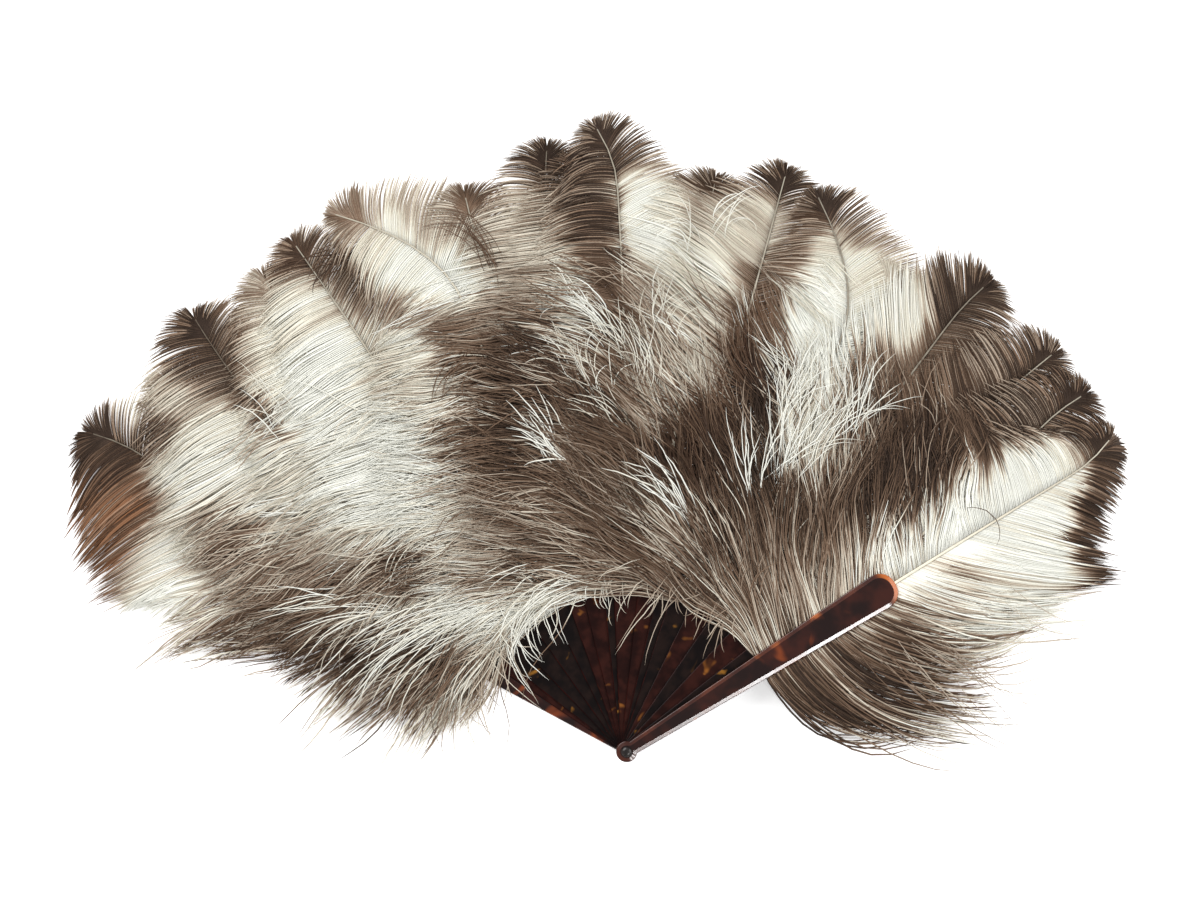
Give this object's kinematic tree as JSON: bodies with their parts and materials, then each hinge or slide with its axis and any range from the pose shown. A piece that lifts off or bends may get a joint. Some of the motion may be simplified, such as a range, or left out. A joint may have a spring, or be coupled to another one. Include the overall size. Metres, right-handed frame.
{
  "type": "folding feather fan",
  "caption": "Open folding fan: tortoiseshell sticks and guards riveted at the head, each carrying one long ostrich plume of mixed cream and brown.",
  "frame": {"origin": "on the rivet's axis, at the rivet's flat tail, flush with the back of the rear guard", "axes": "+Z along the rivet, out of the fan's front face; +X to the right and +Y up the fan, as seen from the front"},
  "size_m": [0.6661, 0.4086, 0.0282],
  "materials": {
    "guard_shell": "polished tortoiseshell, red-brown with amber patches",
    "stick_shell": "polished tortoiseshell, dark brown with olive and amber patches",
    "quill": "smooth cream quill, darker towards the tip",
    "plume_down": "soft ostrich down, cream to dark brown",
    "rivet": "dark polished metal"
  },
  "bodies": {
    "rear_guard": {"rear_guard": "guard_shell", "plume_shaft_00": "quill", "plume_web_00": "plume_down", "rivet_pin": "rivet", "rivet_cap": "rivet"},
    "front_guard": {"front_guard": "guard_shell", "plume_shaft_17": "quill", "plume_web_17": "plume_down"},
    "stick_01": {"stick_01": "stick_shell", "plume_shaft_01": "quill", "plume_web_01": "plume_down"},
    "stick_02": {"stick_02": "stick_shell", "plume_shaft_02": "quill", "plume_web_02": "plume_down"},
    "stick_03": {"stick_03": "stick_shell", "plume_shaft_03": "quill", "plume_web_03": "plume_down"},
    "stick_04": {"stick_04": "stick_shell", "plume_shaft_04": "quill", "plume_web_04": "plume_down"},
    "stick_05": {"stick_05": "stick_shell", "plume_shaft_05": "quill", "plume_web_05": "plume_down"},
    "stick_06": {"stick_06": "stick_shell", "plume_shaft_06": "quill", "plume_web_06": "plume_down"},
    "stick_07": {"stick_07": "stick_shell", "plume_shaft_07": "quill", "plume_web_07": "plume_down"},
    "stick_08": {"stick_08": "stick_shell", "plume_shaft_08": "quill", "plume_web_08": "plume_down"},
    "stick_09": {"stick_09": "stick_shell", "plume_shaft_09": "quill", "plume_web_09": "plume_down"},
    "stick_10": {"stick_10": "stick_shell", "plume_shaft_10": "quill", "plume_web_10": "plume_down"},
    "stick_11": {"stick_11": "stick_shell", "plume_shaft_11": "quill", "plume_web_11": "plume_down"},
    "stick_12": {"stick_12": "stick_shell", "plume_shaft_12": "quill", "plume_web_12": "plume_down"},
    "stick_13": {"stick_13": "stick_shell", "plume_shaft_13": "quill", "plume_web_13": "plume_down"},
    "stick_14": {"stick_14": "stick_shell", "plume_shaft_14": "quill", "plume_web_14": "plume_down"},
    "stick_15": {"stick_15": "stick_shell", "plume_shaft_15": "quill", "plume_web_15": "plume_down"},
    "stick_16": {"stick_16": "stick_shell", "plume_shaft_16": "quill", "plume_web_16": "plume_down"}
  },
  "joints": [
    {"name": "fan_fold", "type": "hinge", "parent": "rear_guard", "child": "front_guard", "pos_m": [0, 0, 0], "axis": [0, 0, 1], "range_deg": [0, 117.3]},
    {"name": "stick_01_turn", "type": "hinge", "parent": "rear_guard", "child": "stick_01", "pos_m": [0, 0, 0], "axis": [0, 0, 1], "range_deg": [0, 6.11]},
    {"name": "stick_02_turn", "type": "hinge", "parent": "rear_guard", "child": "stick_02", "pos_m": [0, 0, 0], "axis": [0, 0, 1], "range_deg": [0, 9.81]},
    {"name": "stick_03_turn", "type": "hinge", "parent": "rear_guard", "child": "stick_03", "pos_m": [0, 0, 0], "axis": [0, 0, 1], "range_deg": [0, 18.11]},
    {"name": "stick_04_turn", "type": "hinge", "parent": "rear_guard", "child": "stick_04", "pos_m": [0, 0, 0], "axis": [0, 0, 1], "range_deg": [0, 26.81]},
    {"name": "stick_05_turn", "type": "hinge", "parent": "rear_guard", "child": "stick_05", "pos_m": [0, 0, 0], "axis": [0, 0, 1], "range_deg": [0, 35.71]},
    {"name": "stick_06_turn", "type": "hinge", "parent": "rear_guard", "child": "stick_06", "pos_m": [0, 0, 0], "axis": [0, 0, 1], "range_deg": [0, 42.41]},
    {"name": "stick_07_turn", "type": "hinge", "parent": "rear_guard", "child": "stick_07", "pos_m": [0, 0, 0], "axis": [0, 0, 1], "range_deg": [0, 48.31]},
    {"name": "stick_08_turn", "type": "hinge", "parent": "rear_guard", "child": "stick_08", "pos_m": [0, 0, 0], "axis": [0, 0, 1], "range_deg": [0, 55.71]},
    {"name": "stick_09_turn", "type": "hinge", "parent": "rear_guard", "child": "stick_09", "pos_m": [0, 0, 0], "axis": [0, 0, 1], "range_deg": [0, 59.51]},
    {"name": "stick_10_turn", "type": "hinge", "parent": "rear_guard", "child": "stick_10", "pos_m": [0, 0, 0], "axis": [0, 0, 1], "range_deg": [0, 68.21]},
    {"name": "stick_11_turn", "type": "hinge", "parent": "rear_guard", "child": "stick_11", "pos_m": [0, 0, 0], "axis": [0, 0, 1], "range_deg": [0, 75.11]},
    {"name": "stick_12_turn", "type": "hinge", "parent": "rear_guard", "child": "stick_12", "pos_m": [0, 0, 0], "axis": [0, 0, 1], "range_deg": [0, 80.21]},
    {"name": "stick_13_turn", "type": "hinge", "parent": "rear_guard", "child": "stick_13", "pos_m": [0, 0, 0], "axis": [0, 0, 1], "range_deg": [0, 88.11]},
    {"name": "stick_14_turn", "type": "hinge", "parent": "rear_guard", "child": "stick_14", "pos_m": [0, 0, 0], "axis": [0, 0, 1], "range_deg": [0, 96.61]},
    {"name": "stick_15_turn", "type": "hinge", "parent": "rear_guard", "child": "stick_15", "pos_m": [0, 0, 0], "axis": [0, 0, 1], "range_deg": [0, 105.21]},
    {"name": "stick_16_turn", "type": "hinge", "parent": "rear_guard", "child": "stick_16", "pos_m": [0, 0, 0], "axis": [0, 0, 1], "range_deg": [0, 113.81]}
  ],
  "couplings": [
    {"joint": "stick_01_turn", "follows": "fan_fold", "ratio": 0.052003},
    {"joint": "stick_02_turn", "follows": "fan_fold", "ratio": 0.083546},
    {"joint": "stick_03_turn", "follows": "fan_fold", "ratio": 0.1543},
    {"joint": "stick_04_turn", "follows": "fan_fold", "ratio": 0.22847},
    {"joint": "stick_05_turn", "follows": "fan_fold", "ratio": 0.30435},
    {"joint": "stick_06_turn", "follows": "fan_fold", "ratio": 0.36147},
    {"joint": "stick_07_turn", "follows": "fan_fold", "ratio": 0.41176},
    {"joint": "stick_08_turn", "follows": "fan_fold", "ratio": 0.47485},
    {"joint": "stick_09_turn", "follows": "fan_fold", "ratio": 0.50725},
    {"joint": "stick_10_turn", "follows": "fan_fold", "ratio": 0.58142},
    {"joint": "stick_11_turn", "follows": "fan_fold", "ratio": 0.64024},
    {"joint": "stick_12_turn", "follows": "fan_fold", "ratio": 0.68372},
    {"joint": "stick_13_turn", "follows": "fan_fold", "ratio": 0.75107},
    {"joint": "stick_14_turn", "follows": "fan_fold", "ratio": 0.82353},
    {"joint": "stick_15_turn", "follows": "fan_fold", "ratio": 0.89685},
    {"joint": "stick_16_turn", "follows": "fan_fold", "ratio": 0.97016}
  ]
}
